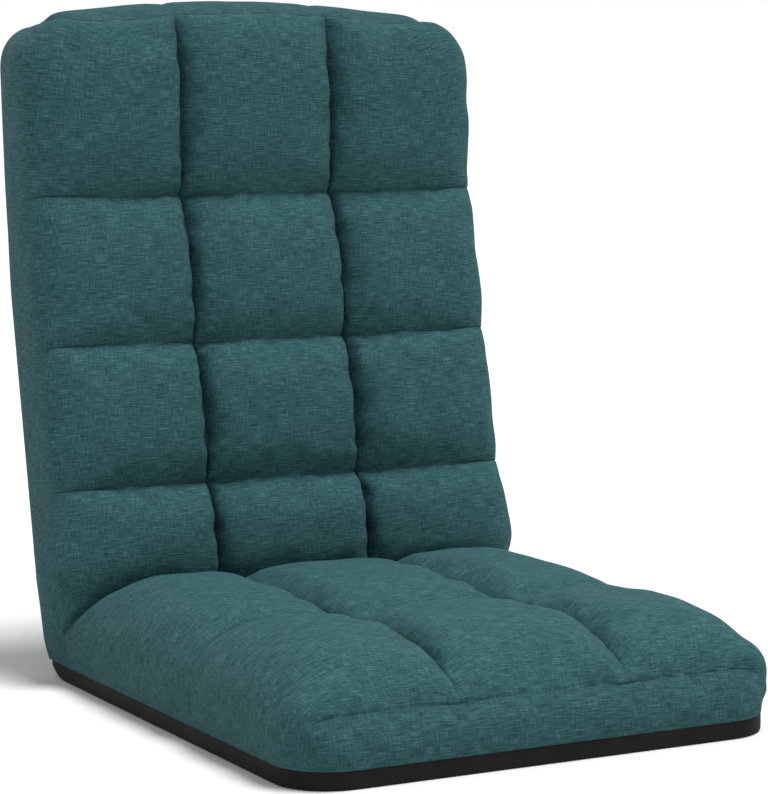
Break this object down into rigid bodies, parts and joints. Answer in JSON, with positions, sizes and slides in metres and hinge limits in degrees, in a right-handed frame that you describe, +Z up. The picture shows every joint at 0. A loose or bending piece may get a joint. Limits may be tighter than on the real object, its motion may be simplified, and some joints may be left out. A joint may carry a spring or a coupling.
{
  "type": "folding floor chair",
  "caption": "Legless quilted floor chair in teal woven cloth: a padded seat lies flat on the floor and a padded back folds over it on ratchet hinges.",
  "frame": {"origin": "on the floor, at the centre of the seat's flat base", "axes": "+X across the chair to the picture's right, +Y towards the back, +Z up"},
  "size_m": [0.5086, 0.7263, 0.709],
  "materials": {
    "quilt_cloth": "slubby linen weave",
    "plain_cloth": "slubby linen weave",
    "base_cloth": "matte non-woven cloth",
    "foam": "open-cell foam",
    "webbing": "ribbed webbing",
    "frame_paint": "satin powder coat",
    "hinge_steel": "zinc plated",
    "spring_steel": "blued spring steel"
  },
  "bodies": {
    "seat": {"hinge_roll_pad": "plain_cloth", "left_hinge_end_pad": "plain_cloth", "left_inner_cheek_plate": "hinge_steel", "left_outer_cheek_plate": "hinge_steel", "left_pawl_pin": "hinge_steel", "left_pawl_spring": "spring_steel", "left_pivot_rivet": "hinge_steel", "left_seat_arm_rivets": "hinge_steel", "left_spacer_bushes": "hinge_steel", "left_spring_pin": "hinge_steel", "right_hinge_end_pad": "plain_cloth", "right_inner_cheek_plate": "hinge_steel", "right_outer_cheek_plate": "hinge_steel", "right_pawl_pin": "hinge_steel", "right_pawl_spring": "spring_steel", "right_pivot_rivet": "hinge_steel", "right_seat_arm_rivets": "hinge_steel", "right_spacer_bushes": "hinge_steel", "right_spring_pin": "hinge_steel", "seat_base_cloth": "base_cloth", "seat_cross_tubes": "frame_paint", "seat_foam_bottom": "foam", "seat_foam_top": "foam", "seat_frame_tube": "frame_paint", "seat_front_boxing": "plain_cloth", "seat_quilt_front_row": "quilt_cloth", "seat_quilt_rear_row": "quilt_cloth", "seat_webbing_straps": "webbing"},
    "back": {"back_cross_tubes": "frame_paint", "back_foam_front": "foam", "back_foam_rear": "foam", "back_frame_tube": "frame_paint", "back_quilt_row_1": "quilt_cloth", "back_quilt_row_2": "quilt_cloth", "back_quilt_row_3": "quilt_cloth", "back_quilt_row_4": "quilt_cloth", "back_rear_panel": "plain_cloth", "back_top_boxing": "plain_cloth", "back_webbing_straps": "webbing", "left_back_arm_rivets": "hinge_steel", "left_ratchet_plate": "hinge_steel", "right_back_arm_rivets": "hinge_steel", "right_ratchet_plate": "hinge_steel"},
    "right_catch": {"right_pawl": "hinge_steel"},
    "left_catch": {"left_pawl": "hinge_steel"}
  },
  "joints": [
    {"name": "back_fold", "type": "hinge", "parent": "seat", "child": "back", "pos_m": [0, 0.2875, 0.05], "axis": [1, 0, 0], "range_deg": [-79, 79], "deforming": ["seat_quilt_rear_row", "back_quilt_row_3", "back_quilt_row_4"]},
    {"name": "right_pawl_lift", "type": "hinge", "parent": "seat", "child": "right_catch", "pos_m": [0.215, 0.2505, 0.044], "axis": [-1, 0, 0], "range_deg": [0, 6.5], "stiffness_Nm_per_rad": 0.02, "springref_deg": -11.46, "deforming": ["right_pawl_spring"]},
    {"name": "left_pawl_lift", "type": "hinge", "parent": "seat", "child": "left_catch", "pos_m": [-0.215, 0.2505, 0.044], "axis": [-1, 0, 0], "range_deg": [0, 6.5], "stiffness_Nm_per_rad": 0.02, "springref_deg": -11.46, "deforming": ["left_pawl_spring"]}
  ]
}
